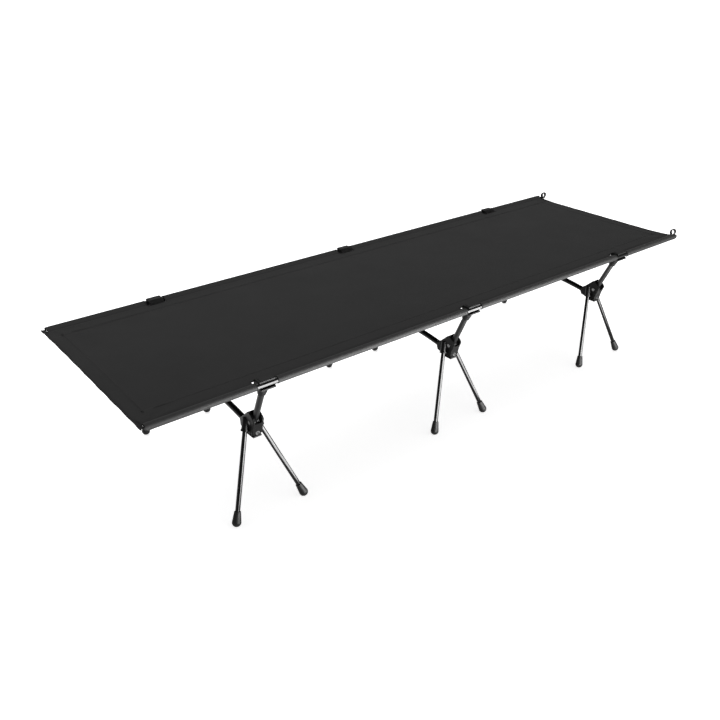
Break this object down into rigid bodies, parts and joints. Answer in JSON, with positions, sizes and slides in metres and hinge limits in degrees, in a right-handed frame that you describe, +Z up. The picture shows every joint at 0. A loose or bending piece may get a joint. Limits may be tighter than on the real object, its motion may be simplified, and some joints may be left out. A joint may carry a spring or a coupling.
{
  "type": "folding cot",
  "caption": "Low folding camp cot: a taut fabric bed on two side rails, tension levers, arched cross tubes and pull-out legs with rubber feet.",
  "frame": {"origin": "on the floor, under the centre of the bed", "axes": "+X along the bed towards the head end, +Y to the right of someone lying face up with their head at +X, +Z up"},
  "size_m": [1.92, 0.627, 0.4092],
  "materials": {
    "cap_plastic": "moulded nylon",
    "clamp_plastic": "glass-filled nylon, lightly grained",
    "cross_tube_black": "black anodised aluminium, satin",
    "deck_fabric": "coated woven polyester, plain weave",
    "ferrule_aluminium": "plain drawn aluminium",
    "foot_rubber": "moulded black rubber",
    "hub_plastic": "glass-filled nylon, lightly grained",
    "knuckle_plastic": "glass-filled nylon",
    "leg_gloss_black": "black anodised aluminium, glossy",
    "lever_black": "dark anodised aluminium, satin",
    "pad_rubber": "moulded black rubber",
    "pin_steel": "dark steel pin with rolled heads",
    "rail_black": "black anodised aluminium, satin",
    "shock_cord": "braided elastic cord",
    "sleeve_fabric": "coated woven polyester, two layers"
  },
  "bodies": {
    "base": {"deck_panel": "deck_fabric", "hinge_pins": "pin_steel", "low_mode_pads": "pad_rubber", "foot_cross_tube": "cross_tube_black", "foot_left_hub": "hub_plastic", "foot_right_hub": "hub_plastic", "middle_cross_tube": "cross_tube_black", "middle_left_hub": "hub_plastic", "middle_right_hub": "hub_plastic", "head_cross_tube": "cross_tube_black", "head_left_hub": "hub_plastic", "head_right_hub": "hub_plastic"},
    "left_side": {"left_rail_tubes": "rail_black", "left_rail_ferrules": "ferrule_aluminium", "left_rail_shock_cord": "shock_cord", "left_rail_end_caps": "cap_plastic", "left_rail_sleeve": "sleeve_fabric", "left_lever_knuckles": "knuckle_plastic", "foot_left_lever_tube": "lever_black", "foot_left_rail_clamp": "clamp_plastic", "middle_left_lever_tube": "lever_black", "middle_left_rail_clamp": "clamp_plastic", "head_left_lever_tube": "lever_black", "head_left_rail_clamp": "clamp_plastic"},
    "right_side": {"right_rail_tubes": "rail_black", "right_rail_ferrules": "ferrule_aluminium", "right_rail_shock_cord": "shock_cord", "right_rail_end_caps": "cap_plastic", "right_rail_sleeve": "sleeve_fabric", "right_lever_knuckles": "knuckle_plastic", "foot_right_lever_tube": "lever_black", "foot_right_rail_clamp": "clamp_plastic", "middle_right_lever_tube": "lever_black", "middle_right_rail_clamp": "clamp_plastic", "head_right_lever_tube": "lever_black", "head_right_rail_clamp": "clamp_plastic"},
    "foot_left_footward_leg": {"foot_left_leg_footward": "leg_gloss_black", "foot_left_foot_footward": "foot_rubber"},
    "foot_left_headward_leg": {"foot_left_leg_headward": "leg_gloss_black", "foot_left_foot_headward": "foot_rubber"},
    "foot_right_footward_leg": {"foot_right_leg_footward": "leg_gloss_black", "foot_right_foot_footward": "foot_rubber"},
    "foot_right_headward_leg": {"foot_right_leg_headward": "leg_gloss_black", "foot_right_foot_headward": "foot_rubber"},
    "middle_left_footward_leg": {"middle_left_leg_footward": "leg_gloss_black", "middle_left_foot_footward": "foot_rubber"},
    "middle_left_headward_leg": {"middle_left_leg_headward": "leg_gloss_black", "middle_left_foot_headward": "foot_rubber"},
    "middle_right_footward_leg": {"middle_right_leg_footward": "leg_gloss_black", "middle_right_foot_footward": "foot_rubber"},
    "middle_right_headward_leg": {"middle_right_leg_headward": "leg_gloss_black", "middle_right_foot_headward": "foot_rubber"},
    "head_left_footward_leg": {"head_left_leg_footward": "leg_gloss_black", "head_left_foot_footward": "foot_rubber"},
    "head_left_headward_leg": {"head_left_leg_headward": "leg_gloss_black", "head_left_foot_headward": "foot_rubber"},
    "head_right_footward_leg": {"head_right_leg_footward": "leg_gloss_black", "head_right_foot_footward": "foot_rubber"},
    "head_right_headward_leg": {"head_right_leg_headward": "leg_gloss_black", "head_right_foot_headward": "foot_rubber"}
  },
  "joints": [
    {"name": "left_side_release", "type": "hinge", "parent": "base", "child": "left_side", "pos_m": [0, -0.2274, 0.248], "axis": [-1, 0, 0], "range_deg": [0, 25]},
    {"name": "right_side_release", "type": "hinge", "parent": "base", "child": "right_side", "pos_m": [0, 0.2274, 0.248], "axis": [1, 0, 0], "range_deg": [0, 25]},
    {"name": "foot_left_footward_leg_pull_out", "type": "slide", "parent": "base", "child": "foot_left_footward_leg", "axis": [-0.3346, -0.2427, -0.9106], "range_m": [0, 0.028]},
    {"name": "foot_left_headward_leg_pull_out", "type": "slide", "parent": "base", "child": "foot_left_headward_leg", "axis": [0.3346, -0.2427, -0.9106], "range_m": [0, 0.028]},
    {"name": "foot_right_footward_leg_pull_out", "type": "slide", "parent": "base", "child": "foot_right_footward_leg", "axis": [-0.3346, 0.2427, -0.9106], "range_m": [0, 0.028]},
    {"name": "foot_right_headward_leg_pull_out", "type": "slide", "parent": "base", "child": "foot_right_headward_leg", "axis": [0.3346, 0.2427, -0.9106], "range_m": [0, 0.028]},
    {"name": "middle_left_footward_leg_pull_out", "type": "slide", "parent": "base", "child": "middle_left_footward_leg", "axis": [-0.3346, -0.2427, -0.9106], "range_m": [0, 0.028]},
    {"name": "middle_left_headward_leg_pull_out", "type": "slide", "parent": "base", "child": "middle_left_headward_leg", "axis": [0.3346, -0.2427, -0.9106], "range_m": [0, 0.028]},
    {"name": "middle_right_footward_leg_pull_out", "type": "slide", "parent": "base", "child": "middle_right_footward_leg", "axis": [-0.3346, 0.2427, -0.9106], "range_m": [0, 0.028]},
    {"name": "middle_right_headward_leg_pull_out", "type": "slide", "parent": "base", "child": "middle_right_headward_leg", "axis": [0.3346, 0.2427, -0.9106], "range_m": [0, 0.028]},
    {"name": "head_left_footward_leg_pull_out", "type": "slide", "parent": "base", "child": "head_left_footward_leg", "axis": [-0.3346, -0.2427, -0.9106], "range_m": [0, 0.028]},
    {"name": "head_left_headward_leg_pull_out", "type": "slide", "parent": "base", "child": "head_left_headward_leg", "axis": [0.3346, -0.2427, -0.9106], "range_m": [0, 0.028]},
    {"name": "head_right_footward_leg_pull_out", "type": "slide", "parent": "base", "child": "head_right_footward_leg", "axis": [-0.3346, 0.2427, -0.9106], "range_m": [0, 0.028]},
    {"name": "head_right_headward_leg_pull_out", "type": "slide", "parent": "base", "child": "head_right_headward_leg", "axis": [0.3346, 0.2427, -0.9106], "range_m": [0, 0.028]}
  ]
}
